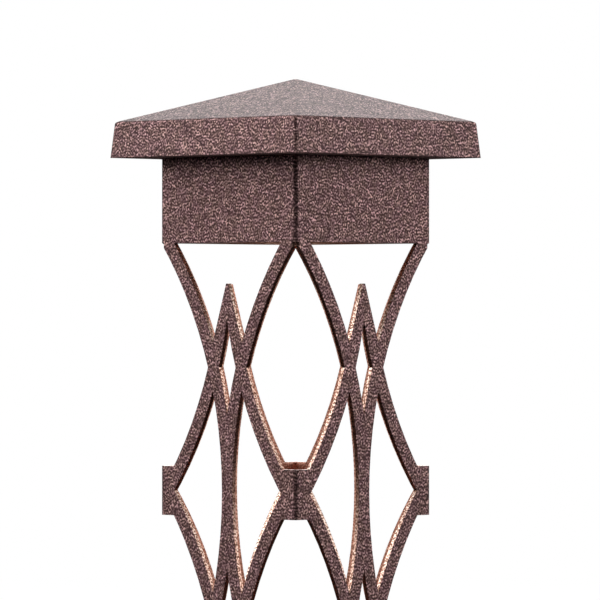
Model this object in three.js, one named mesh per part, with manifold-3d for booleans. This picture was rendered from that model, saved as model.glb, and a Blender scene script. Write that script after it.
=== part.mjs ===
// Fence post cap: a low pyramid cap that lifts off a pierced square post-top.
// Millimetres, +Z up. The origin is the centre of the base, and the faces are square to X and Y.
// The front face looks along -Y, the right face along +X.

import * as THREE from 'three';
import { mergeVertices } from 'three/addons/utils/BufferGeometryUtils.js';
import Module from 'manifold-3d';

// Gaps between pieces
const FIT_GAP = 0.3;
const STACK_GAP = 0.1;

// Square post-top, made from two folded halves
const TUBE_WIDTH = 101.6;
const WALL = 2.5;
const TUBE_CORNER_RADIUS = 2.5;
const COLLAR_HEIGHT = 45;
const HALF_BAY = 130.8;
const BAND_HEIGHT = 26;

// Pierced pattern: every strip is a piece of a ring that touches the face's centre-line
const STRIP_WIDTH = 7.7;
const STRIP_SPREAD = 45;
const RING_SEGMENTS = 120;
const BAND_REACH = 10.7;
const SPIKE_SHOULDER_DROP = 49.8;
const SPIKE_TIP_DROP = 21.4;
const SPIKE_TIP_WIDTH = 1.5;

// Plates inside the two collars
const PLATE_THICKNESS = 2.5;
const PLATE_CORNER_CUT = 5;

// Cap
const CAP_BASE_WIDTH = 139.7;
const CAP_EAVES_WIDTH = 136.2;
const FASCIA_HEIGHT = 19;
const ROOF_RISE = 23.2;
const CAP_SHEET = 2;
const SOFFIT_HOLE_WIDTH = 70;
const SKIRT_HEIGHT = 30;
const SKIRT_CLEARANCE = 1.3;
const SKIRT_CORNER_RADIUS = 6;

// Push-in pads that steady the skirt in the collar
const PAD_DIAMETER = 16;
const PAD_THICKNESS = 1;
const PAD_STEM_DIAMETER = 6;

// Fillet welds
const WELD_LEG = 3;
const WELD_LENGTH = 40;
const WELD_BULGE = 0.7;
const WELD_END_MARGIN = 2;

// Clamp screws that bear on the post in the lower collar
const POST_WIDTH = 88.9;
const SCREW_DIAMETER = 5;
const SCREW_HEAD_DIAMETER = 9.5;
const SCREW_HEAD_HEIGHT = 2.8;
const SCREW_TIP_CHAMFER = 0.5;
const DOME_ANGLE = Math.PI / 3;
const DOME_STEPS = 4;
const HEX_KEY_WIDTH = 3;
const HEX_KEY_DEPTH = 1.6;
const WASHER_DIAMETER = 12.5;
const WASHER_THICKNESS = 1;
const ROUND_SEGMENTS = 24;

// Worked out from the dimensions above
const TUBE_HALF = TUBE_WIDTH / 2;
const INNER_HALF = TUBE_HALF - WALL;
const LATTICE_BOTTOM = COLLAR_HEIGHT;
const BAND_CENTRE = LATTICE_BOTTOM + HALF_BAY;
const LATTICE_TOP = BAND_CENTRE + HALF_BAY;
const TUBE_TOP = LATTICE_TOP + COLLAR_HEIGHT;
const RING_RADIUS = (HALF_BAY ** 2 + STRIP_SPREAD ** 2) / (2 * STRIP_SPREAD);
const RING_INNER = RING_RADIUS - STRIP_WIDTH / 2;
const RING_OUTER = RING_RADIUS + STRIP_WIDTH / 2;
const CAP_BOTTOM = TUBE_TOP + FIT_GAP;
const EAVES = CAP_BOTTOM + FASCIA_HEIGHT;
const APEX = EAVES + ROOF_RISE;
const BATTER = (CAP_BASE_WIDTH - CAP_EAVES_WIDTH) / 2 / FASCIA_HEIGHT;
const ROOF_SLOPE = ROOF_RISE / (CAP_EAVES_WIDTH / 2);
const FASCIA_INNER_HALF = CAP_BASE_WIDTH / 2 - CAP_SHEET * Math.hypot(1, BATTER);
const INNER_APEX = APEX - CAP_SHEET * Math.hypot(1, ROOF_SLOPE);
const PLATE_HALF = INNER_HALF - FIT_GAP;
const SKIRT_HALF = INNER_HALF - SKIRT_CLEARANCE;
const SKIRT_TOP = CAP_BOTTOM - FIT_GAP;
const SKIRT_MIDDLE = SKIRT_TOP - SKIRT_HEIGHT / 2;
const SCREW_HEIGHT = (COLLAR_HEIGHT - PLATE_THICKNESS) / 2;

const SIDES = ['front', 'right', 'back', 'left'];

const wasm = await Module();
wasm.setup();

// ---- Solids ----

// A closed geometry with shared corners, as a solid that can be joined and cut.
function toSolid(geometry) {
  const plain = geometry.clone();
  plain.deleteAttribute('normal');
  plain.deleteAttribute('uv');
  const merged = mergeVertices(plain, 1e-4);
  return new wasm.Manifold(new wasm.Mesh({
    numProp: 3,
    vertProperties: merged.attributes.position.array,
    triVerts: new Uint32Array(merged.index.array),
  }));
}

function toGeometry(solid) {
  const mesh = solid.getMesh();
  const geometry = new THREE.BufferGeometry();
  geometry.setAttribute('position', new THREE.BufferAttribute(mesh.vertProperties, 3));
  geometry.setIndex(new THREE.BufferAttribute(mesh.triVerts, 1));
  return geometry;
}

function joinAll(solids) {
  return solids.reduce((joined, next) => joined.add(next));
}

// A full circle or an arc in the outline gets twice curveSegments straight pieces.
function extrude(shape, depth, curveSegments = 4) {
  return new THREE.ExtrudeGeometry(shape, { depth, curveSegments, bevelEnabled: false });
}

// A box between two corners.
function boxBetween(low, high) {
  const size = high.map((value, axis) => value - low[axis]);
  const geometry = new THREE.BoxGeometry(...size);
  geometry.translate(...low.map((value, axis) => value + size[axis] / 2));
  return geometry;
}

// A turned piece whose axis is Z, from [radius, height] pairs that run up its outside.
function turned(profile, segments = ROUND_SEGMENTS, start = 0) {
  const points = profile.map(([radius, height]) => new THREE.Vector2(radius, height));
  const geometry = new THREE.LatheGeometry(points, segments, start);
  geometry.rotateX(Math.PI / 2);
  return geometry;
}

// A square piece with its sides square to X and Y, from [half width, height] pairs.
function squareTurned(profile) {
  const corners = profile.map(([half, height]) => [half * Math.SQRT2, height]);
  return turned(corners, 4, Math.PI / 4);
}

// ---- Outlines ----

function roundedSquare(half, radius) {
  const shape = new THREE.Shape();
  const flat = half - radius;
  shape.moveTo(-flat, -half);
  shape.lineTo(flat, -half);
  shape.absarc(flat, -flat, radius, -Math.PI / 2, 0);
  shape.lineTo(half, flat);
  shape.absarc(flat, flat, radius, 0, Math.PI / 2);
  shape.lineTo(-flat, half);
  shape.absarc(-flat, flat, radius, Math.PI / 2, Math.PI);
  shape.lineTo(-half, -flat);
  shape.absarc(-flat, -flat, radius, Math.PI, 1.5 * Math.PI);
  return shape;
}

function polygon(points) {
  return new THREE.Shape(points.map(([x, y]) => new THREE.Vector2(x, y)));
}

function rectangle(left, bottom, right, top) {
  return polygon([[left, bottom], [right, bottom], [right, top], [left, top]]);
}

function disc(x, y, radius) {
  return new THREE.Shape().absarc(x, y, radius, 0, 2 * Math.PI);
}

// ---- Post-top walls ----

// An outline on the front face, x across and y up, as a prism right through that wall.
function throughFrontWall(shape) {
  const geometry = extrude(shape, WALL + 2 * FIT_GAP, RING_SEGMENTS / 2);
  geometry.rotateX(Math.PI / 2);
  geometry.translate(0, FIT_GAP - INNER_HALF, 0);
  return toSolid(geometry);
}

// The strip of one ring. side is -1 or 1 for the ring centred left or right of the face.
function ringStrip(side, centreHeight) {
  const centre = side * RING_RADIUS;
  const outside = throughFrontWall(disc(centre, centreHeight, RING_OUTER));
  return outside.subtract(throughFrontWall(disc(centre, centreHeight, RING_INNER)));
}

// The pair of strips that rise from the corner bands, up for way 1 and down for way -1. They
// stop at the shoulders of a spike, whose sides are straight and whose tip is cut flat.
function bandStripsAndSpike(way) {
  const collarEdge = BAND_CENTRE + way * HALF_BAY;
  const shoulder = collarEdge - way * SPIKE_SHOULDER_DROP;
  const tip = collarEdge - way * SPIKE_TIP_DROP;
  const shoulderHalf = RING_RADIUS - Math.sqrt(RING_INNER ** 2 - SPIKE_SHOULDER_DROP ** 2);
  const belowShoulder = throughFrontWall(
    rectangle(-TUBE_WIDTH, Math.min(shoulder, BAND_CENTRE), TUBE_WIDTH, Math.max(shoulder, BAND_CENTRE)),
  );
  const strips = ringStrip(-1, collarEdge).add(ringStrip(1, collarEdge)).intersect(belowShoulder);
  const spikeOutline = [
    [-shoulderHalf, shoulder],
    [shoulderHalf, shoulder],
    [SPIKE_TIP_WIDTH / 2, tip],
    [-SPIKE_TIP_WIDTH / 2, tip],
  ];
  const insideRings = throughFrontWall(disc(-RING_RADIUS, collarEdge, RING_OUTER))
    .add(throughFrontWall(disc(RING_RADIUS, collarEdge, RING_OUTER)));
  const spike = throughFrontWall(polygon(spikeOutline)).intersect(insideRings);
  return strips.add(spike);
}

// The metal that stays between the collars on the front face.
function frontPattern() {
  const bandLow = BAND_CENTRE - BAND_HEIGHT / 2;
  const bandHigh = BAND_CENTRE + BAND_HEIGHT / 2;
  const bandInner = TUBE_HALF - BAND_REACH;
  return joinAll([
    ringStrip(-1, BAND_CENTRE),
    ringStrip(1, BAND_CENTRE),
    bandStripsAndSpike(1),
    bandStripsAndSpike(-1),
    throughFrontWall(rectangle(-TUBE_WIDTH, bandLow, -bandInner, bandHigh)),
    throughFrontWall(rectangle(bandInner, bandLow, TUBE_WIDTH, bandHigh)),
  ]);
}

// Everything that is cut out of the front face, with the clamp screw's hole.
function frontCutter() {
  const window = throughFrontWall(rectangle(-TUBE_WIDTH, LATTICE_BOTTOM, TUBE_WIDTH, LATTICE_TOP));
  const holeRadius = SCREW_DIAMETER / 2 + FIT_GAP;
  const screwHole = new THREE.CylinderGeometry(holeRadius, holeRadius, TUBE_WIDTH, ROUND_SEGMENTS);
  screwHole.translate(0, -TUBE_HALF, SCREW_HEIGHT);
  return window.subtract(frontPattern()).add(toSolid(screwHole));
}

function piercedTube() {
  const outside = toSolid(extrude(roundedSquare(TUBE_HALF, TUBE_CORNER_RADIUS), TUBE_TOP));
  const inside = toSolid(boxBetween(
    [-INNER_HALF, -INNER_HALF, -FIT_GAP],
    [INNER_HALF, INNER_HALF, TUBE_TOP + FIT_GAP],
  ));
  const cutter = toGeometry(frontCutter());
  let tube = outside.subtract(inside);
  SIDES.forEach((side, index) => {
    tube = tube.subtract(toSolid(cutter.clone().rotateZ(index * Math.PI / 2)));
  });
  return tube;
}

// One folded half of the tube: two faces and the fold between them. The halves meet in a
// mitred seam at the left and right corners of the diagonal x = y. way is 1 for the half
// with the front and right faces, and -1 for the other.
function tubeHalf(tube, way) {
  const setBack = FIT_GAP / Math.SQRT2;
  const triangle = polygon([
    [-TUBE_WIDTH + setBack, -TUBE_WIDTH],
    [TUBE_WIDTH, -TUBE_WIDTH],
    [TUBE_WIDTH, TUBE_WIDTH - setBack],
  ]);
  const geometry = extrude(triangle, TUBE_TOP);
  geometry.rotateZ(way > 0 ? 0 : Math.PI);
  return toGeometry(tube.intersect(toSolid(geometry)));
}

// ---- Welds ----

// A fillet weld in the corner at the origin, with its legs along +x and +y, centred on z.
function weldBead(length) {
  const middle = WELD_LEG / 2 + WELD_BULGE;
  const section = new THREE.Shape();
  section.moveTo(0, 0);
  section.lineTo(WELD_LEG, 0);
  section.quadraticCurveTo(middle, middle, 0, WELD_LEG);
  const geometry = extrude(section, length, 4);
  geometry.translate(0, 0, -length / 2);
  return geometry;
}

// A bead up the inside of a seam corner. way is -1 for the left seam and 1 for the right one.
function seamWeld(way, low, high) {
  const geometry = weldBead(high - low);
  geometry.rotateZ(way > 0 ? Math.PI : 0);
  const corner = way * (INNER_HALF - FIT_GAP);
  geometry.translate(corner, corner, (low + high) / 2);
  return geometry;
}

// A bead along the front wall's inner face, on top of a plate.
function plateWeld(plateTop) {
  const geometry = weldBead(WELD_LENGTH);
  geometry.rotateX(Math.PI / 2);
  geometry.rotateZ(Math.PI / 2);
  geometry.translate(0, -PLATE_HALF, plateTop + FIT_GAP);
  return geometry;
}

// A bead along the skirt's front inner face, under the soffit.
function skirtWeld() {
  const geometry = weldBead(WELD_LENGTH);
  geometry.rotateX(-Math.PI / 2);
  geometry.rotateZ(Math.PI / 2);
  geometry.translate(0, CAP_SHEET + FIT_GAP - SKIRT_HALF, CAP_BOTTOM - FIT_GAP);
  return geometry;
}

// ---- Plates inside the collars ----

// A square plate that closes a collar, with its corners cut to clear the seams.
function collarPlate(bottom) {
  const short = PLATE_HALF - PLATE_CORNER_CUT;
  const outline = [
    [-short, -PLATE_HALF],
    [short, -PLATE_HALF],
    [PLATE_HALF, -short],
    [PLATE_HALF, short],
    [short, PLATE_HALF],
    [-short, PLATE_HALF],
    [-PLATE_HALF, short],
    [-PLATE_HALF, -short],
  ];
  const geometry = extrude(polygon(outline), PLATE_THICKNESS);
  geometry.translate(0, 0, bottom);
  return geometry;
}

// ---- Clamp screws ----

// Turns a round piece whose axis is Z to point out of the front face, and moves it there.
function ontoFront(geometry, faceDistance, height) {
  geometry.rotateX(Math.PI / 2);
  geometry.translate(0, -faceDistance, height);
  return geometry;
}

function clampWasher() {
  const inner = SCREW_DIAMETER / 2 + FIT_GAP;
  const outer = WASHER_DIAMETER / 2;
  const top = STACK_GAP + WASHER_THICKNESS;
  const ring = [
    [inner, STACK_GAP],
    [outer, STACK_GAP],
    [outer, top],
    [inner, top],
    [inner, STACK_GAP],
  ];
  return ontoFront(turned(ring), TUBE_HALF, SCREW_HEIGHT);
}

// A button-head screw. Its tip stops just clear of the post.
function clampScrew() {
  const shank = SCREW_DIAMETER / 2;
  const tip = POST_WIDTH / 2 + FIT_GAP - TUBE_HALF;
  const seat = 2 * STACK_GAP + WASHER_THICKNESS;
  const head = SCREW_HEAD_DIAMETER / 2;
  const domeRise = SCREW_HEAD_HEIGHT / Math.sin(DOME_ANGLE);
  const profile = [
    [0, tip],
    [shank - SCREW_TIP_CHAMFER, tip],
    [shank, tip + SCREW_TIP_CHAMFER],
    [shank, seat],
  ];
  for (let step = 0; step <= DOME_STEPS; step += 1) {
    const angle = DOME_ANGLE * step / DOME_STEPS;
    profile.push([head * Math.cos(angle), seat + domeRise * Math.sin(angle)]);
  }
  const top = seat + SCREW_HEAD_HEIGHT;
  profile.push([0, top]);
  const hexRadius = HEX_KEY_WIDTH / Math.sqrt(3);
  const hexSocket = new THREE.CylinderGeometry(hexRadius, hexRadius, 2 * HEX_KEY_DEPTH, 6);
  hexSocket.rotateX(Math.PI / 2);
  hexSocket.translate(0, 0, top);
  const screw = toGeometry(toSolid(turned(profile)).subtract(toSolid(hexSocket)));
  return ontoFront(screw, TUBE_HALF, SCREW_HEIGHT);
}

// ---- Cap ----

// The roof and the battered fascia, one sheet of even thickness.
function capShell() {
  const innerRise = INNER_APEX - CAP_BOTTOM;
  const innerEavesHalf = (FASCIA_INNER_HALF - BATTER * innerRise) / (1 - BATTER * ROOF_SLOPE);
  return squareTurned([
    [0, INNER_APEX],
    [innerEavesHalf, INNER_APEX - ROOF_SLOPE * innerEavesHalf],
    [FASCIA_INNER_HALF, CAP_BOTTOM],
    [CAP_BASE_WIDTH / 2, CAP_BOTTOM],
    [CAP_EAVES_WIDTH / 2, EAVES],
    [0, APEX],
  ]);
}

// The flat plate under the overhang, with a square hole over the skirt.
function capSoffit() {
  const bottomHalf = FASCIA_INNER_HALF - FIT_GAP;
  const topHalf = bottomHalf - BATTER * CAP_SHEET;
  const hole = SOFFIT_HOLE_WIDTH / 2;
  return squareTurned([
    [hole, CAP_BOTTOM],
    [bottomHalf, CAP_BOTTOM],
    [topHalf, CAP_BOTTOM + CAP_SHEET],
    [hole, CAP_BOTTOM + CAP_SHEET],
    [hole, CAP_BOTTOM],
  ]);
}

// The folded square skirt that drops into the upper collar, with a hole for each pad's stem.
function capSkirt() {
  const outside = extrude(roundedSquare(SKIRT_HALF, SKIRT_CORNER_RADIUS), SKIRT_HEIGHT);
  const innerHalf = SKIRT_HALF - CAP_SHEET;
  const innerRadius = SKIRT_CORNER_RADIUS - CAP_SHEET;
  const inside = extrude(roundedSquare(innerHalf, innerRadius), SKIRT_HEIGHT + 2 * FIT_GAP);
  outside.translate(0, 0, SKIRT_TOP - SKIRT_HEIGHT);
  inside.translate(0, 0, SKIRT_TOP - SKIRT_HEIGHT - FIT_GAP);
  const ring = toSolid(outside).subtract(toSolid(inside));
  const holeRadius = PAD_STEM_DIAMETER / 2 + FIT_GAP;
  const holeAcross = new THREE.CylinderGeometry(holeRadius, holeRadius, TUBE_WIDTH, ROUND_SEGMENTS);
  const holeAlong = holeAcross.clone().rotateZ(Math.PI / 2);
  holeAcross.translate(0, 0, SKIRT_MIDDLE);
  holeAlong.translate(0, 0, SKIRT_MIDDLE);
  return toGeometry(ring.subtract(toSolid(holeAcross)).subtract(toSolid(holeAlong)));
}

// A push-in pad: a thin head outside the skirt on a stem through it.
function skirtPad() {
  const stem = PAD_STEM_DIAMETER / 2;
  const head = PAD_DIAMETER / 2;
  const profile = [
    [0, -CAP_SHEET],
    [stem, -CAP_SHEET],
    [stem, STACK_GAP],
    [head, STACK_GAP],
    [head, PAD_THICKNESS / 2],
    [head - PAD_THICKNESS / 2, PAD_THICKNESS],
    [0, PAD_THICKNESS],
  ];
  return ontoFront(turned(profile), SKIRT_HALF, SKIRT_MIDDLE);
}

// ---- Assembly ----

const coat = { color: 0x6a5048, roughness: 0.55, metalness: 0.3 };
const nylon = { color: 0x1c1c1e, roughness: 0.6, metalness: 0 };
const screwSteel = { color: 0x4a3f3a, roughness: 0.4, metalness: 0.8 };

const cap = new THREE.Group();
const postTop = new THREE.Group();

function place(group, name, geometry, finish) {
  const mesh = new THREE.Mesh(geometry, new THREE.MeshStandardMaterial(finish));
  mesh.name = name;
  group.add(mesh);
  return mesh;
}

// The same piece on all four sides, made for the front and turned round to the others.
function placeOnSides(group, name, geometry, finish) {
  SIDES.forEach((side, index) => {
    const mesh = place(group, `${name}_${side}`, geometry, finish);
    mesh.rotation.z = index * Math.PI / 2;
  });
}

function addSeamWelds(name, way) {
  const bandHalf = BAND_HEIGHT / 2;
  const plateEnd = PLATE_THICKNESS + WELD_END_MARGIN;
  const margin = WELD_END_MARGIN;
  const spans = {
    upper: [LATTICE_TOP + plateEnd, TUBE_TOP - margin],
    band: [BAND_CENTRE - bandHalf + margin, BAND_CENTRE + bandHalf - margin],
    lower: [margin, COLLAR_HEIGHT - plateEnd],
  };
  for (const [level, [low, high]] of Object.entries(spans)) {
    place(postTop, `seam_weld_${name}_${level}`, seamWeld(way, low, high), coat);
  }
}

place(cap, 'cap_shell', capShell(), coat);
place(cap, 'cap_soffit', capSoffit(), coat);
place(cap, 'cap_skirt', capSkirt(), coat);
placeOnSides(cap, 'skirt_weld', skirtWeld(), coat);
placeOnSides(cap, 'skirt_pad', skirtPad(), nylon);

const tube = piercedTube();
place(postTop, 'wall_front_right', tubeHalf(tube, 1), coat);
place(postTop, 'wall_back_left', tubeHalf(tube, -1), coat);
addSeamWelds('left', -1);
addSeamWelds('right', 1);
place(postTop, 'collar_plate', collarPlate(LATTICE_TOP), coat);
place(postTop, 'post_stop_plate', collarPlate(COLLAR_HEIGHT - PLATE_THICKNESS), coat);
placeOnSides(postTop, 'collar_plate_weld', plateWeld(LATTICE_TOP + PLATE_THICKNESS), coat);
placeOnSides(postTop, 'post_stop_weld', plateWeld(COLLAR_HEIGHT), coat);
placeOnSides(postTop, 'clamp_washer', clampWasher(), nylon);
placeOnSides(postTop, 'clamp_screw', clampScrew(), screwSteel);

const fencePostCap = new THREE.Group();
fencePostCap.add(postTop, cap);

export default fencePostCap;
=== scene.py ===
"""The looks of the fence post cap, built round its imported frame. Metres, +Z up, front face along -Y."""
import math

import bmesh
import bpy
from mathutils import Matrix, Vector


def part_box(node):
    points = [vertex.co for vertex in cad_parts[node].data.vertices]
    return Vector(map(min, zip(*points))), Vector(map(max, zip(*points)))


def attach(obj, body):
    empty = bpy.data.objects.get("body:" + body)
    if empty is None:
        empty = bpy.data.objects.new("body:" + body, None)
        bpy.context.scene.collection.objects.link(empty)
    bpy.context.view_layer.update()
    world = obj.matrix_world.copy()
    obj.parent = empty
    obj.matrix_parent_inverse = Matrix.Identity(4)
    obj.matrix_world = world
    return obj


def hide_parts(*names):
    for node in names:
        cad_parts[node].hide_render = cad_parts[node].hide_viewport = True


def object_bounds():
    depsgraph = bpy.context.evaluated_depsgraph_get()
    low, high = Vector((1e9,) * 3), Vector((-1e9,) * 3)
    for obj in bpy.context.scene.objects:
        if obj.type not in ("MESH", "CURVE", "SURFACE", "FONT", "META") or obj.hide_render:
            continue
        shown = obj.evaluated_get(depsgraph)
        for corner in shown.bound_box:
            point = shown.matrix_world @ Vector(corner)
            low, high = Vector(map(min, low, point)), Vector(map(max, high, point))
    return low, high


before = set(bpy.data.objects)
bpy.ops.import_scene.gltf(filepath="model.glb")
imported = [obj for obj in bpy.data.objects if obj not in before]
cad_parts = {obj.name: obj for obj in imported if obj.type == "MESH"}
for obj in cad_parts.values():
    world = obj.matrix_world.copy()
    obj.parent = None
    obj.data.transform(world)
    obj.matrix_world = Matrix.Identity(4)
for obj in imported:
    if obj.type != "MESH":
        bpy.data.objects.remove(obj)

MM = 0.001
SIDES = ("front", "right", "back", "left")
ACROSS, ALONG, UPRIGHT = (1, 0, 0), (0, 1, 0), (0, 0, 1)
CAD_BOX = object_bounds()

# Sheet metal: rounding of its edges, and the spacing of the cuts that make the pierced walls' faces whole
SHEET_EDGE = 0.25 * MM
WALL_EDGE = 0.12 * MM
WALL_SEGMENTS = 2
WALL_CUT_STEP = 20 * MM
FASCIA_CORNER = 1.5 * MM
EAVES_EDGE = 1.0 * MM
HIP_EDGE = 1.4 * MM
BEVEL_ANGLE = math.radians(28)
FLAT_WEIGHT = 100

# Joining of the CAD's triangles: how near, how level and how square to an axis counts as the same
MERGE_DISTANCE = 0.002 * MM
SNAP_DISTANCE = 1.0 * MM
FLAT_ANGLE = math.radians(0.4)
ALONG_AXIS = 0.9999
ACROSS_AXIS = 0.01

# The cap's outer edges, told apart by their heights and their reach
PEAK_HALF = 10 * MM
SAME_LEVEL = 1 * MM
CLEAR_RISE = 5 * MM
EAVES_TOLERANCE = 0.1 * MM
OUTER_SHARE = 0.97
CAP_SEGMENTS = 5

# The tube's outer skin, and the depths below it at which its cut edges and its inner faces begin
TUBE_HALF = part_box("wall_front_right")[1].x
TUBE_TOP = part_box("wall_front_right")[1].z
TUBE_CORNER = 2.5 * MM
CUT_EDGE_DEPTHS = (0.1 * MM, 0.4 * MM)
INNER_FACE_DEPTHS = (TUBE_CORNER - 0.3 * MM, TUBE_CORNER - 0.05 * MM)

# Vein pattern: its scales, and the heights between which its ridges and their crests rise
VEIN_SCALE = 480.0
VEIN_FREQUENCY = 1.4
VEIN_STRETCH = (1.2, 1.2, 0.85)
GRAIN_SCALE = 900.0
GRAIN_SHARE = 0.30
RIDGE_HEIGHTS = (0.40, 0.56)
CREST_HEIGHTS = (0.53, 0.68)
TINT_SCALE = 210.0
TINT_OFFSET = (0.5, 0.2, 0.7)
TINT_RANGE = (0.35, 0.65)
STRENGTH_SCALE = 260.0
STRENGTH_OFFSET = (0.1, 0.9, 0.4)
STRENGTH_RANGE = (0.36, 0.64)

# Outer coat, as pairs of colours for its two tints
GROUND = ((0.075, 0.041, 0.039), (0.080, 0.040, 0.043))
SLOPE = ((0.22, 0.126, 0.117), (0.22, 0.120, 0.123))
FAINT_CREST = ((0.43, 0.260, 0.240), (0.415, 0.242, 0.247))
BRIGHT_CREST = ((0.78, 0.500, 0.460), (0.76, 0.472, 0.472))

# Coat on the tube's inner faces and cut edges, as the colours of its ground, its ridges and their crests.
# The inner faces' colours are painted light: a paler, more orange copy of the outer coat that stands in
# for the light falling inside the tube
INNER_FACE = ((0.48, 0.21, 0.14), (0.88, 0.46, 0.34), (1.0, 0.68, 0.52))
# The cut edges' colours are far paler than the outer coat's: a painted highlight for the light that
# catches them
CUT_EDGE = ((0.23, 0.125, 0.085), (0.84, 0.58, 0.47), (1.0, 0.86, 0.76))

# Cut edges that face down get painted shade, and those that face up or sideways a painted highlight. The
# painted shade turns into the painted highlight as the height of their normal goes from the first value
# to the second
CUT_UNDERSIDE_PAINTED_SHADE = ((0.07, 0.038, 0.03), (0.20, 0.105, 0.08))
UNDERSIDE_TURN = (-0.15, 0.30)

# Coat: how much darker it is on the cap, and its roughness, which is less by EDGE_GLOSS on cut edges
CAP_SHADE = 0.22
COAT_ROUGHNESS = (0.60, 0.50)
EDGE_GLOSS = 0.12
COAT_RELIEF = 0.10 * MM
CLEAR_LAYER = {"Coat_Weight": 0.1, "Coat_Roughness": 0.35}

# Noise of three and of two octaves, as its detail and its roughness
CLOUDY = (3.0, 0.6)
SPECKLED = (2.0, 0.6)

# Nylon: its two blacks, its scuffs and its worn edges
NYLON_GRAIN_SCALE = 2600.0
NYLON_SCUFF_SCALE = 420.0
NYLON_SCUFF_RANGE = (0.58, 0.75)
NYLON_BLACKS = ((0.012, 0.012, 0.013), (0.032, 0.031, 0.032))
NYLON_SCUFF = (0.10, 0.095, 0.09)
NYLON_SCUFF_SHARE = 0.5
NYLON_WORN = (0.07, 0.068, 0.066)
NYLON_ROUGHNESS = (0.52, 0.72)
NYLON_RELIEF = 0.02 * MM

# Screw steel: its clouded plating, its specks and its worn edges
STEEL_CLOUD_SCALE = 700.0
STEEL_CLOUD_RANGE = (0.3, 0.7)
STEEL_SPECK_SCALE = 4200.0
STEEL_BRONZES = ((0.055, 0.036, 0.028), (0.15, 0.10, 0.075))
STEEL_WORN = (0.45, 0.37, 0.30)
STEEL_ROUGHNESS = (0.28, 0.46)
STEEL_RELIEF = 0.01 * MM
STEEL_METALLIC = 0.9

# Worn edges: how wide they are, and the cosines of the bend between which they set in
NYLON_WEAR_WIDTH = 0.4 * MM
STEEL_WEAR_WIDTH = 0.3 * MM
WEAR_BEND = (0.995, 0.85)
WEAR_SAMPLES = 4

# Weld beads. The tip's and the bow's shares are of the full leg, the crown's of the leg at its height
RIPPLE_PITCH = 1.5 * MM
RIPPLE_DEPTH = 0.12 * MM
BEAD_STEP = 0.25 * MM
BEAD_ARC_POINTS = 12
BEAD_TIP_SHARE = 0.08
BEAD_CROWN_SHARE = 0.16
RIPPLE_BOW_SHARE = 0.6

# Clamp screws: the shank from its tip, its thread, the button head and its hex recess
SHANK_RADIUS = 2.5 * MM
SHANK_TIP_SHARE = 0.72
SHANK_LEAD_IN = 0.3 * MM
SHANK_PLAIN = 0.4 * MM
THREAD_PITCH = 0.8 * MM
THREAD_DEPTH = 0.3 * MM
THREAD_STEPS = 8
THREAD_MARGIN = 0.9 * MM
HEAD_HEIGHT = 2.8 * MM
HEAD_RIM = 0.2 * MM
HEAD_UNDERCUT = 0.25 * MM
DOME_ANGLE = math.radians(62)
DOME_STEPS = 8
HEX_APOTHEM = 1.5 * MM
HEX_CHAMFER = 0.18 * MM
HEX_DEPTH = 1.5 * MM
HEX_FLOOR_DROP = 0.1 * MM
HEX_FLOOR_RADIUS = 0.3 * MM
SHARP_ANGLE = math.radians(32)

# Clamp washers
WASHER_BORE = 2.8 * MM
WASHER_RIM = 0.25 * MM
WASHER_RIM_STEPS = 6

# Skirt pads. The lead-in and the head's rim are each a step inwards and a step along
PAD_STEM = 3.0 * MM
PAD_LEAD_IN = (0.5 * MM, 0.4 * MM)
PAD_RIM = (0.1 * MM, 0.12 * MM)
PAD_HEAD_HEIGHT = 0.9 * MM
PAD_STEPS = 8
PAD_SQUARENESS = 0.35
PAD_CENTRE = 0.2 * MM

# Camera: level, looking at the corner between the front and right faces
CAMERA_DISTANCE = 2.73
CAMERA_AZIMUTH = math.radians(45)
CAMERA_LENS = 309.0
CAMERA_SENSOR = 36.0
CAMERA_SHIFT = (0.0073, 0.0117)
EYE_BELOW_COLLAR = 33.7 * MM

# Light: soft lobes of the surround, each with its azimuth, its elevation and its strength. A lobe is
# full inside its core and gone at its edge, which are cosines, and they all stop at the horizon
LIGHT_LOBES = (
    (135, 4, 1.75), (225, 4, 3.8),
    (0, 28, 0.35), (90, 28, 0.4), (135, 28, 1.3), (180, 28, 0.6), (225, 28, 1.05), (315, 28, 3.7),
    (0, 58, 4.0), (135, 58, 0.6),
)
LOBE_CORE = math.cos(math.radians(4))
LOBE_EDGE = math.cos(math.radians(32))
HORIZON = (-0.03, 0.03)
FLOOR_GLOW = 2.2

# Floor: its half width, its gap to the object, and how far out its shade fades into an even white
FLOOR_HALF = 40.0
FLOOR_GAP = 0.1 * MM
FLOOR_FADE = (0.8, 2.4)
FLOOR_GREY = (0.9, 0.9, 0.9)
WHITE = (1.0, 1.0, 1.0)
BLACK = (0.0, 0.0, 0.0)


# ---- Shader building ----

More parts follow.
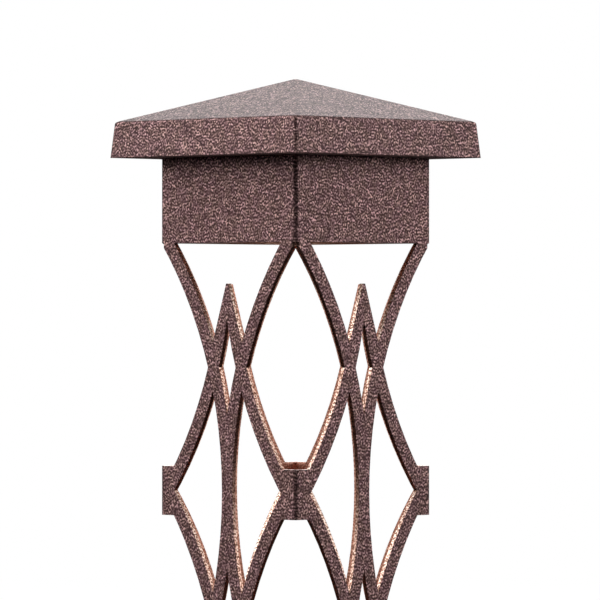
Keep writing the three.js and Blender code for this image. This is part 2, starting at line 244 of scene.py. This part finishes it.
class Graph:
    """A node tree that nodes are added to by kind, with sockets set from values or linked."""

    def __init__(self, tree):
        self.tree = tree
        tree.nodes.clear()

    def add(self, kind, settings=None, **sockets):
        node = self.tree.nodes.new(kind)
        for name, value in (settings or {}).items():
            setattr(node, name, value)
        for name, value in sockets.items():
            self.put(node, name.replace("_", " "), value)
        return node

    def put(self, node, name, value):
        socket = node.inputs[int(name)] if name.isdigit() else node.inputs[name]
        if isinstance(value, bpy.types.NodeSocket):
            self.tree.links.new(value, socket)
        else:
            socket.default_value = value

    def maths(self, operation, first, second=0.0):
        node = self.add("ShaderNodeMath", {"operation": operation})
        self.put(node, "0", first)
        self.put(node, "1", second)
        return node.outputs[0]

    def ramp(self, value, low, high, bottom=0.0, top=1.0):
        node = self.add(
            "ShaderNodeMapRange",
            {"interpolation_type": "SMOOTHSTEP"},
            Value=value, From_Min=low, From_Max=high, To_Min=bottom, To_Max=top,
        )
        return node.outputs["Result"]

    def mix(self, factor, first, second):
        """Runs from first to second. Either one is a socket or a colour."""
        node = self.add("ShaderNodeMix", {"data_type": "RGBA"})
        self.put(node, "0", factor)
        self.put(node, "6", rgba(first))
        self.put(node, "7", rgba(second))
        return node.outputs[2]

    def noise(self, vector, scale, detail=1.0, roughness=0.5):
        node = self.add(
            "ShaderNodeTexNoise",
            Vector=vector, Scale=scale, Detail=detail, Roughness=roughness,
        )
        return node.outputs["Fac"]

    def vectors(self, operation, first, second):
        node = self.add("ShaderNodeVectorMath", {"operation": operation})
        self.put(node, "0", first)
        self.put(node, "1", second)
        return node.outputs[0]


def rgba(colour):
    """A colour with full alpha. A socket is handed back as it is."""
    return (*colour, 1.0) if isinstance(colour, tuple) else colour


def new_material(name):
    material = bpy.data.materials.new(name)
    material.use_nodes = True
    return material, Graph(material.node_tree)


def finish_material(graph, colour, roughness, height, relief, metallic, **sockets):
    """The principled shader and the bump that every finish ends in."""
    bump = graph.add("ShaderNodeBump", Height=height, Strength=1.0, Distance=relief)
    shader = graph.add(
        "ShaderNodeBsdfPrincipled",
        Base_Color=colour, Roughness=roughness, Metallic=metallic, Normal=bump.outputs[0], **sockets,
    )
    output = graph.add("ShaderNodeOutputMaterial")
    graph.tree.links.new(shader.outputs[0], output.inputs["Surface"])


def worn_edge(graph, radius):
    """A mask: 1 on sharp edges, falling to 0 on flat faces."""
    bevel = graph.add("ShaderNodeBevel", {"samples": WEAR_SAMPLES}, Radius=radius)
    geometry = graph.add("ShaderNodeNewGeometry")
    dot = graph.add("ShaderNodeVectorMath", {"operation": "DOT_PRODUCT"})
    graph.put(dot, "0", bevel.outputs[0])
    graph.put(dot, "1", geometry.outputs["Normal"])
    return graph.ramp(dot.outputs["Value"], *WEAR_BEND)


# ---- Finishes ----

def vein_pattern(graph, place):
    """The height of fine wormy ridges, a mask for the ridges and one for their crests."""
    waves = graph.add(
        "ShaderNodeTexGabor", {"gabor_type": "3D"}, Vector=graph.vectors("MULTIPLY", place, VEIN_STRETCH),
        Scale=VEIN_SCALE, Frequency=VEIN_FREQUENCY, Anisotropy=0.0,
    ).outputs["Value"]
    grain = graph.maths("SUBTRACT", graph.noise(place, GRAIN_SCALE), 0.5)
    height = graph.maths("ADD", waves, graph.maths("MULTIPLY", grain, GRAIN_SHARE))
    return height, graph.ramp(height, *RIDGE_HEIGHTS), graph.ramp(height, *CREST_HEIGHTS)


def outer_colour(graph, place, ridge, crest):
    """Dark ground to pale crests. The tint and the crests' brightness drift over the surface."""
    tint_place = graph.vectors("ADD", place, TINT_OFFSET)
    tint = graph.ramp(graph.noise(tint_place, TINT_SCALE), *TINT_RANGE)
    strength_place = graph.vectors("ADD", place, STRENGTH_OFFSET)
    strength = graph.ramp(graph.noise(strength_place, STRENGTH_SCALE), *STRENGTH_RANGE)
    low = graph.mix(ridge, graph.mix(tint, *GROUND), graph.mix(tint, *SLOPE))
    high = graph.mix(strength, graph.mix(tint, *FAINT_CREST), graph.mix(tint, *BRIGHT_CREST))
    return graph.mix(crest, low, high)


def layered_colour(graph, ridge, crest, colours):
    ground, slope, peak = colours
    return graph.mix(crest, graph.mix(ridge, ground, slope), peak)


def cut_edge_colour(graph, ridge, crest):
    """Painted light on the tube's cut edges: a painted highlight where an edge faces up or sideways,
    painted shade where it faces down.
    """
    normal = graph.add("ShaderNodeNewGeometry").outputs["Normal"]
    upward = graph.ramp(graph.add("ShaderNodeSeparateXYZ", Vector=normal).outputs["Z"], *UNDERSIDE_TURN)
    # Painted shade for cut edges that face down
    painted_shade = graph.mix(ridge, *CUT_UNDERSIDE_PAINTED_SHADE)
    return graph.mix(upward, painted_shade, layered_colour(graph, ridge, crest, CUT_EDGE))


def vein_coat():
    """Copper-vein powder coat: fine ridges over a dark ground. It is darker on the cap and smoother on
    the tube's cut edges. It carries painted light:
    a paler, more orange copy on the tube's inner faces, a painted highlight on cut edges that face up or
    sideways and painted shade on those that face down."""
    material, graph = new_material("copper_vein_coat")
    place = graph.add("ShaderNodeTexCoord").outputs["Object"]
    height, ridge, crest = vein_pattern(graph, place)
    on_cap, on_cut_edge, on_inner_face = tube_depth(graph, place)
    colour = outer_colour(graph, place, ridge, crest)
    colour = graph.mix(graph.maths("MULTIPLY", on_cap, CAP_SHADE), colour, BLACK)
    # Painted highlight and painted shade on the tube's cut edges
    colour = graph.mix(on_cut_edge, colour, cut_edge_colour(graph, ridge, crest))
    # Painted light: the tube's inner faces take a paler, more orange copy of the coat
    colour = graph.mix(on_inner_face, colour, layered_colour(graph, ridge, crest, INNER_FACE))
    gloss = graph.maths("MULTIPLY", on_cut_edge, EDGE_GLOSS)
    roughness = graph.maths("SUBTRACT", graph.ramp(ridge, 0.0, 1.0, *COAT_ROUGHNESS), gloss)
    finish_material(graph, colour, roughness, height, COAT_RELIEF, 1.0, **CLEAR_LAYER)
    return material


def tube_depth(graph, place):
    """Three masks: the cap; the tube's cut edges and inner faces; the tube's inner faces alone. The
    last two are 0 on its rounded outer skin."""
    split = graph.add("ShaderNodeSeparateXYZ", Vector=place)

    def past_core(axis):
        reach = graph.maths("ABSOLUTE", split.outputs[axis])
        return graph.maths("MAXIMUM", graph.maths("SUBTRACT", reach, TUBE_HALF - TUBE_CORNER), 0.0)

    corner = graph.add("ShaderNodeCombineXYZ", X=past_core("X"), Y=past_core("Y"))
    length = graph.add("ShaderNodeVectorMath", {"operation": "LENGTH"})
    graph.put(length, "0", corner.outputs[0])
    depth = graph.maths("SUBTRACT", TUBE_CORNER, length.outputs["Value"])
    on_cap = graph.maths("GREATER_THAN", split.outputs["Z"], TUBE_TOP)
    on_tube = graph.maths("SUBTRACT", 1.0, on_cap)
    past_skin = graph.maths("MULTIPLY", graph.ramp(depth, *CUT_EDGE_DEPTHS), on_tube)
    past_wall = graph.maths("MULTIPLY", graph.ramp(depth, *INNER_FACE_DEPTHS), on_tube)
    return on_cap, past_skin, past_wall


def moulded_nylon():
    """Black nylon with a fine spark-eroded grain and paler scuffs."""
    material, graph = new_material("black_nylon")
    place = graph.add("ShaderNodeTexCoord").outputs["Object"]
    grain = graph.noise(place, NYLON_GRAIN_SCALE, *CLOUDY)
    scuffs = graph.ramp(graph.noise(place, NYLON_SCUFF_SCALE, *CLOUDY), *NYLON_SCUFF_RANGE)
    colour = graph.mix(grain, *NYLON_BLACKS)
    colour = graph.mix(graph.maths("MULTIPLY", scuffs, NYLON_SCUFF_SHARE), colour, NYLON_SCUFF)
    colour = graph.mix(worn_edge(graph, NYLON_WEAR_WIDTH), colour, NYLON_WORN)
    roughness = graph.ramp(scuffs, 0.0, 1.0, *NYLON_ROUGHNESS)
    finish_material(graph, colour, roughness, grain, NYLON_RELIEF, 0.0)
    return material


def dark_screw_steel():
    """Dark bronze plated steel, polished bare along its edges."""
    material, graph = new_material("screw_steel")
    place = graph.add("ShaderNodeTexCoord").outputs["Object"]
    cloud = graph.noise(place, STEEL_CLOUD_SCALE, *CLOUDY)
    specks = graph.noise(place, STEEL_SPECK_SCALE, *SPECKLED)
    colour = graph.mix(cloud, *STEEL_BRONZES)
    colour = graph.mix(worn_edge(graph, STEEL_WEAR_WIDTH), colour, STEEL_WORN)
    roughness = graph.ramp(cloud, *STEEL_CLOUD_RANGE, *STEEL_ROUGHNESS)
    finish_material(graph, colour, roughness, specks, STEEL_RELIEF, STEEL_METALLIC)
    return material


# ---- Pieces ----

def finish_piece(piece, body, nodes, material):
    """Gives a piece its finish, hangs it on the body it rides on, and hides the CAD nodes it stands in
    for.
    """
    piece.data.materials.clear()
    piece.data.materials.append(material)
    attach(piece, body)
    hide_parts(*nodes)
    return piece


def object_from(name, built):
    mesh = bpy.data.meshes.new(name)
    built.to_mesh(mesh)
    built.free()
    piece = bpy.data.objects.new(name, mesh)
    bpy.context.scene.collection.objects.link(piece)
    return piece


def merged_copy(node, merge=MERGE_DISTANCE, cuts=()):
    """A CAD node's shape as one joined mesh, with its flat faces made whole. Faces with holes are
    first cut across, because no one face can go round a hole."""
    built = bmesh.new()
    built.from_mesh(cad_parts[node].data)
    bmesh.ops.remove_doubles(built, verts=built.verts, dist=merge)
    for point, across in cuts:
        cut_flat_faces(built, Vector(point), Vector(across))
    bmesh.ops.dissolve_limit(
        built, angle_limit=FLAT_ANGLE, verts=built.verts, edges=built.edges, delimit={"SEAM"},
    )
    bmesh.ops.recalc_face_normals(built, faces=built.faces)
    return built


def cut_flat_faces(built, point, across):
    """Cuts the flat faces that lie along the axis "across" at a point, and marks the cuts."""

    def lies_along(face):
        return max(map(abs, face.normal)) > ALONG_AXIS and abs(face.normal.dot(across)) < ACROSS_AXIS

    flat = [f for f in built.faces if lies_along(f)]
    edges = {e for f in flat for e in f.edges}
    verts = {v for f in flat for v in f.verts}
    cut = bmesh.ops.bisect_plane(
        built, geom=[*verts, *edges, *flat], dist=SNAP_DISTANCE, plane_co=point, plane_no=across,
    )
    for part in cut["geom_cut"]:
        if isinstance(part, bmesh.types.BMEdge):
            part.seam = True


def round_edges(piece, width, segments=3, by_weight=False, clamp=True):
    bevel = piece.modifiers.new("rounded edges", "BEVEL")
    bevel.width = width
    bevel.segments = segments
    bevel.limit_method = "WEIGHT" if by_weight else "ANGLE"
    bevel.angle_limit = BEVEL_ANGLE
    bevel.miter_outer = "MITER_ARC"
    bevel.use_clamp_overlap = clamp
    piece.data.shade_smooth()
    weighted = piece.modifiers.new("flat faces stay flat", "WEIGHTED_NORMAL")
    weighted.mode = "FACE_AREA"
    weighted.weight = FLAT_WEIGHT


def sheet_piece(node, body, material, cuts=()):
    """A finer sheet-metal piece in place of a CAD node, with its cut edges softened by the coat."""
    piece = object_from(f"{node}_skin", merged_copy(node, cuts=cuts))
    round_edges(piece, SHEET_EDGE)
    return finish_piece(piece, body, [node], material)


def wall_piece(node, material):
    """A folded, pierced wall. Its edges are softened by less than half its finest corner."""
    steps = int(TUBE_TOP / WALL_CUT_STEP)
    cuts = [((0, 0, (step + 0.5) * WALL_CUT_STEP), UPRIGHT) for step in range(steps + 1)]
    piece = object_from(f"{node}_skin", merged_copy(node, WALL_EDGE, cuts))
    round_edges(piece, WALL_EDGE, WALL_SEGMENTS, clamp=False)
    return finish_piece(piece, "post_top", [node], material)


def cap_shell_piece(material):
    """The cap's roof and fascia, with a radius of its own on each kind of outer edge."""
    built = merged_copy("cap_shell")
    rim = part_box("cap_shell")[0].z
    eaves = max(v.co.z for v in built.verts if abs(v.co.x) > PEAK_HALF)
    eaves_half = max(abs(v.co.x) for v in built.verts if abs(v.co.z - eaves) < EAVES_TOLERANCE)
    weights = built.edges.layers.float.new("bevel_weight_edge")
    for edge in built.edges:
        top, bottom = sorted((v.co for v in edge.verts), key=lambda co: -co.z)
        if max(abs(bottom.x), abs(bottom.y)) > OUTER_SHARE * eaves_half:
            edge[weights] = cap_edge_width(top.z, bottom.z, rim, eaves) / FASCIA_CORNER
    piece = object_from("cap_shell_skin", built)
    round_edges(piece, FASCIA_CORNER, CAP_SEGMENTS, by_weight=True)
    return finish_piece(piece, "cap", ["cap_shell"], material)


def cap_edge_width(top, bottom, rim, eaves):
    """The rounding of an outer edge of the cap, told by the heights of its ends."""
    if bottom < rim + SAME_LEVEL:
        return FASCIA_CORNER if top > rim + CLEAR_RISE else SHEET_EDGE
    if bottom > eaves - SAME_LEVEL:
        return HIP_EDGE if top > eaves + CLEAR_RISE else EAVES_EDGE
    return 0.0


def grid_surface(rings, capped=True):
    """A closed mesh through rings of points: its ends are capped, or its last ring meets its first."""
    built = bmesh.new()
    loops = [[built.verts.new(point) for point in ring] for ring in rings]
    count = len(loops[0])
    ahead = loops[1:] if capped else loops[1:] + loops[:1]
    for near, far in zip(loops, ahead):
        for i in range(count):
            j = (i + 1) % count
            built.faces.new((near[i], near[j], far[j], far[i]))
    if capped:
        built.faces.new(loops[0][::-1])
        built.faces.new(loops[-1])
    bmesh.ops.recalc_face_normals(built, faces=built.faces)
    return built


def weld_rings(length, leg):
    """Rings along a fillet bead on z, with its legs along +x and +y and curved ripples."""
    steps = round(length / BEAD_STEP)
    rings = []
    for step in range(steps + 1):
        along = length * step / steps
        end = min(along, length - along, leg) / leg
        size = leg * max(math.sqrt(1 - (1 - end) ** 2), BEAD_TIP_SHARE)
        rings.append(weld_ring(along, along - length / 2, leg, size))
    return rings


def weld_ring(along, height, leg, size):
    """The bead's section at one height: its root, and a crowned arc from leg to leg."""
    ring = [Vector((0, 0, height))]
    for k in range(BEAD_ARC_POINTS + 1):
        share = k / BEAD_ARC_POINTS
        crown = math.sin(math.pi * share)
        phase = 2 * math.pi * (along - RIPPLE_BOW_SHARE * leg * crown) / RIPPLE_PITCH
        dip = RIPPLE_DEPTH * (size / leg) * (0.5 + 0.5 * math.cos(phase))
        lift = (BEAD_CROWN_SHARE * size - dip) * crown
        x = size * (1 - share) + lift
        y = size * share + lift
        ring.append(Vector((min(x, leg), min(y, leg), height)))
    return ring


def weld_piece(node, body, place, material):
    """A rippled fillet bead in place of a plain one. place takes the bead's own frame to the row's."""
    low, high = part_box(node)
    sizes = sorted(high - low)
    piece = object_from(f"{node}_bead", grid_surface(weld_rings(sizes[2], sizes[0])))
    piece.data.transform(place)
    piece.data.shade_smooth()
    return finish_piece(piece, body, [node], material)


def quarter_turn(index):
    return Matrix.Rotation(index * math.pi / 2, 4, "Z")


AXES_X_FORWARD = Matrix(((0, 0, 1, 0), (1, 0, 0, 0), (0, 1, 0, 0), (0, 0, 0, 1)))
AXES_X_DOWN = Matrix(((0, 0, -1, 0), (1, 0, 0, 0), (0, -1, 0, 0), (0, 0, 0, 1)))


def side_welds(name, body, material, hangs=False):
    """The four beads of a plate or of the skirt, turned round from the front one."""
    low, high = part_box(f"{name}_front")
    root = Vector((0, low.y, high.z if hangs else low.z))
    front = Matrix.Translation(root) @ (AXES_X_DOWN if hangs else AXES_X_FORWARD)
    for index, side in enumerate(SIDES):
        weld_piece(f"{name}_{side}", body, quarter_turn(index) @ front, material)


def seam_welds(material):
    for name, turn in (("left", 0.0), ("right", math.pi)):
        for level in ("upper", "band", "lower"):
            node = f"seam_weld_{name}_{level}"
            low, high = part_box(node)
            corner = low if turn == 0.0 else high
            root = Vector((corner.x, corner.y, (low.z + high.z) / 2))
            place = Matrix.Translation(root) @ Matrix.Rotation(turn, 4, "Z")
            weld_piece(node, "post_top", place, material)


def lathe_rings(profile, segments=48):
    """Rings round z from (radius, height) pairs. A radius may be a function of the angle."""
    rings = []
    for radius, height in profile:
        ring = []
        for k in range(segments):
            angle = 2 * math.pi * k / segments
            r = radius(angle) if callable(radius) else radius
            ring.append(Vector((r * math.cos(angle), r * math.sin(angle), height)))
        rings.append(ring)
    return rings


def side_piece(node, index, body, built, material):
    """Puts a round piece, made along z from its inner end, in place of a node on one side."""
    low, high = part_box(node.rsplit("_", 1)[0] + "_front")
    centre = (low + high) / 2
    outward = Matrix.Rotation(math.pi / 2, 4, "X")
    front = Matrix.Translation((centre.x, high.y, centre.z)) @ outward
    piece = object_from(f"{node}_fine", built)
    piece.data.transform(quarter_turn(index) @ front)
    piece.data.shade_smooth()
    piece.data.set_sharp_from_angle(angle=SHARP_ANGLE)
    return finish_piece(piece, body, [node], material)


def thread_radius(height):
    """The radius of a helical thread at one height, as a function of the angle."""

    def radius(angle):
        turn = (height / THREAD_PITCH - angle / (2 * math.pi)) % 1.0
        return SHANK_RADIUS - THREAD_DEPTH * abs(2 * turn - 1)

    return radius


def hexagon(apothem):
    """The radius of a hexagon, as a function of the angle."""

    def radius(angle):
        return apothem / math.cos((angle + math.pi / 6) % (math.pi / 3) - math.pi / 6)

    return radius


def screw_mesh(length, head_radius):
    """A button-head screw on z: a helical thread from the tip, a domed head and a hex recess."""
    seat = length - HEAD_HEIGHT
    thread_rise = THREAD_PITCH / THREAD_STEPS
    rings = int((seat - THREAD_MARGIN) / thread_rise)
    thread = [SHANK_LEAD_IN + k * thread_rise for k in range(rings)]
    profile = [(SHANK_RADIUS * SHANK_TIP_SHARE, 0.0)]
    profile += [(thread_radius(height), height) for height in thread]
    profile += [(SHANK_RADIUS, seat - SHANK_PLAIN), (SHANK_RADIUS, seat)]
    profile += [(head_radius - HEAD_UNDERCUT, seat), (head_radius, seat + HEAD_RIM)]
    for k in range(1, DOME_STEPS + 1):
        angle = DOME_ANGLE * k / DOME_STEPS
        rise = (HEAD_HEIGHT - HEAD_RIM) * math.sin(angle) / math.sin(DOME_ANGLE)
        profile.append((head_radius * math.cos(angle), seat + HEAD_RIM + rise))
    profile += [
        (hexagon(HEX_APOTHEM + HEX_CHAMFER), length),
        (hexagon(HEX_APOTHEM), length - HEX_CHAMFER),
        (hexagon(HEX_APOTHEM), length - HEX_DEPTH),
        (HEX_FLOOR_RADIUS, length - HEX_DEPTH - HEX_FLOOR_DROP),
    ]
    return grid_surface(lathe_rings(profile))


def washer_mesh(outer, thickness):
    """A flat washer on z with its rims rounded."""
    bore, rim = WASHER_BORE, WASHER_RIM
    profile = [(bore, rim), (bore + rim, 0.0), (outer - rim, 0.0)]
    for k in range(1, WASHER_RIM_STEPS):
        angle = math.pi * (k / WASHER_RIM_STEPS - 0.5)
        height = thickness - rim if angle > 0 else rim
        profile.append((outer - rim + rim * math.cos(angle), height + rim * math.sin(angle)))
    profile += [(outer - rim, thickness), (bore + rim, thickness), (bore, thickness - rim)]
    return grid_surface(lathe_rings(profile), capped=False)


def pad_mesh(length, head_radius):
    """A push-in pad on z: a stem with a lead-in, and a shallow domed head."""
    underside = length - PAD_HEAD_HEIGHT
    rim_in, rim_up = PAD_RIM
    profile = [(PAD_STEM - PAD_LEAD_IN[0], 0.0), (PAD_STEM, PAD_LEAD_IN[1]), (PAD_STEM, underside)]
    profile += [(head_radius - rim_in, underside), (head_radius, underside + rim_up)]
    for k in range(1, PAD_STEPS + 1):
        angle = math.pi / 2 * k / PAD_STEPS
        radius = max(head_radius * math.cos(angle) ** PAD_SQUARENESS, PAD_CENTRE)
        rise = (PAD_HEAD_HEIGHT - rim_up) * math.sin(angle)
        profile.append((radius, underside + rim_up + rise))
    return grid_surface(lathe_rings(profile))


def side_fittings(nylon, steel):
    """The clamp screws and their washers, and the skirt's pads, on all four sides."""
    screw_low, screw_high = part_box("clamp_screw_front")
    washer_low, washer_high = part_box("clamp_washer_front")
    pad_low, pad_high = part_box("skirt_pad_front")
    for index, side in enumerate(SIDES):
        screw = screw_mesh(screw_high.y - screw_low.y, (screw_high.x - screw_low.x) / 2)
        side_piece(f"clamp_screw_{side}", index, "post_top", screw, steel)
        washer = washer_mesh((washer_high.x - washer_low.x) / 2, washer_high.y - washer_low.y)
        side_piece(f"clamp_washer_{side}", index, "post_top", washer, nylon)
        pad = pad_mesh(pad_high.y - pad_low.y, (pad_high.x - pad_low.x) / 2)
        side_piece(f"skirt_pad_{side}", index, "cap", pad, nylon)


# ---- Stage ----

def around(azimuth, elevation, distance):
    """A point seen from the row's axis: azimuth 0 is in front, 90 to the right."""
    a, e = math.radians(azimuth), math.radians(elevation)
    return Vector((math.sin(a) * math.cos(e), -math.cos(a) * math.cos(e), math.sin(e))) * distance


def studio_world(lobes):
    """A white surround to look at. The object is lit by soft lobes of it, each given by its azimuth,
    its elevation and its strength, and by the floor's glow from straight below."""
    world = bpy.data.worlds.new("studio")
    world.use_nodes = True
    bpy.context.scene.world = world
    graph = Graph(world.node_tree)
    direction = graph.add("ShaderNodeTexCoord").outputs["Generated"]
    split = graph.add("ShaderNodeSeparateXYZ", Vector=direction)
    level = 0.0
    for azimuth, elevation, strength in lobes:
        towards = graph.add("ShaderNodeVectorMath", {"operation": "DOT_PRODUCT"})
        graph.put(towards, "0", direction)
        graph.put(towards, "1", tuple(around(azimuth, elevation, 1.0)))
        lobe = graph.ramp(towards.outputs["Value"], LOBE_EDGE, LOBE_CORE, 0.0, strength)
        level = graph.maths("ADD", lobe, level)
    level = graph.maths("MULTIPLY", level, graph.ramp(split.outputs["Z"], *HORIZON))
    glow = graph.ramp(split.outputs["Z"], -LOBE_EDGE, -LOBE_CORE, 0.0, FLOOR_GLOW)
    level = graph.maths("ADD", level, glow)
    seen = graph.add("ShaderNodeLightPath").outputs["Is Camera Ray"]
    strength = graph.add("ShaderNodeMix", {"data_type": "FLOAT"})
    graph.put(strength, "0", seen)
    graph.put(strength, "2", level)
    graph.put(strength, "3", 1.0)
    background = graph.add("ShaderNodeBackground", Color=rgba(WHITE), Strength=strength.outputs[0])
    output = graph.add("ShaderNodeOutputWorld")
    graph.tree.links.new(background.outputs[0], output.inputs["Surface"])


def pale_floor():
    """A wide white floor under the rim. It takes the object's shade near the base, is evenly white
    further out, and is clear from below."""
    built = bmesh.new()
    bmesh.ops.create_grid(built, x_segments=1, y_segments=1, size=FLOOR_HALF)
    floor = object_from("studio_floor", built)
    floor.location.z = CAD_BOX[0].z - FLOOR_GAP
    floor.visible_diffuse = False
    floor.visible_glossy = False
    floor.visible_shadow = False
    material, graph = new_material("white_floor")
    place = graph.add("ShaderNodeTexCoord").outputs["Object"]
    distance = graph.add("ShaderNodeVectorMath", {"operation": "LENGTH"})
    graph.put(distance, "0", place)
    far = graph.ramp(distance.outputs["Value"], *FLOOR_FADE)
    lit = graph.add("ShaderNodeBsdfDiffuse", Color=rgba(FLOOR_GREY))
    even = graph.add("ShaderNodeEmission", Color=rgba(WHITE), Strength=1.0)
    blend = graph.add("ShaderNodeMixShader", Fac=far)
    graph.put(blend, "1", lit.outputs[0])
    graph.put(blend, "2", even.outputs[0])
    underneath = graph.add("ShaderNodeNewGeometry").outputs["Backfacing"]
    one_sided = graph.add("ShaderNodeMixShader", Fac=underneath)
    graph.put(one_sided, "1", blend.outputs[0])
    graph.put(one_sided, "2", graph.add("ShaderNodeBsdfTransparent").outputs[0])
    output = graph.add("ShaderNodeOutputMaterial")
    graph.tree.links.new(one_sided.outputs[0], output.inputs["Surface"])
    material.cycles.emission_sampling = "NONE"
    floor.data.materials.append(material)


def studio_camera():
    camera = bpy.data.cameras.new("camera")
    camera.lens = CAMERA_LENS
    camera.sensor_width = CAMERA_SENSOR
    camera.shift_x, camera.shift_y = CAMERA_SHIFT
    holder = bpy.data.objects.new("camera", camera)
    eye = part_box("collar_plate")[0].z - EYE_BELOW_COLLAR
    holder.location = (
        math.sin(CAMERA_AZIMUTH) * CAMERA_DISTANCE, -math.cos(CAMERA_AZIMUTH) * CAMERA_DISTANCE, eye,
    )
    holder.rotation_euler = (math.pi / 2, 0, CAMERA_AZIMUTH)
    bpy.context.scene.collection.objects.link(holder)
    bpy.context.scene.camera = holder


# ---- The scene ----

studio_camera()
studio_world(LIGHT_LOBES)
pale_floor()

coat = vein_coat()
nylon = moulded_nylon()
steel = dark_screw_steel()

cap_shell_piece(coat)
sheet_piece("cap_soffit", "cap", coat, cuts=[((0, 0, 0), ACROSS), ((0, 0, 0), ALONG)])
sheet_piece("cap_skirt", "cap", coat)
for wall in ("wall_front_right", "wall_back_left"):
    wall_piece(wall, coat)
for plate in ("collar_plate", "post_stop_plate"):
    sheet_piece(plate, "post_top", coat)

side_welds("skirt_weld", "cap", coat, hangs=True)
side_welds("collar_plate_weld", "post_top", coat)
side_welds("post_stop_weld", "post_top", coat)
seam_welds(coat)

side_fittings(nylon, steel)

scene = bpy.context.scene
scene.view_settings.view_transform = "Standard"
scene.view_settings.look = "None"
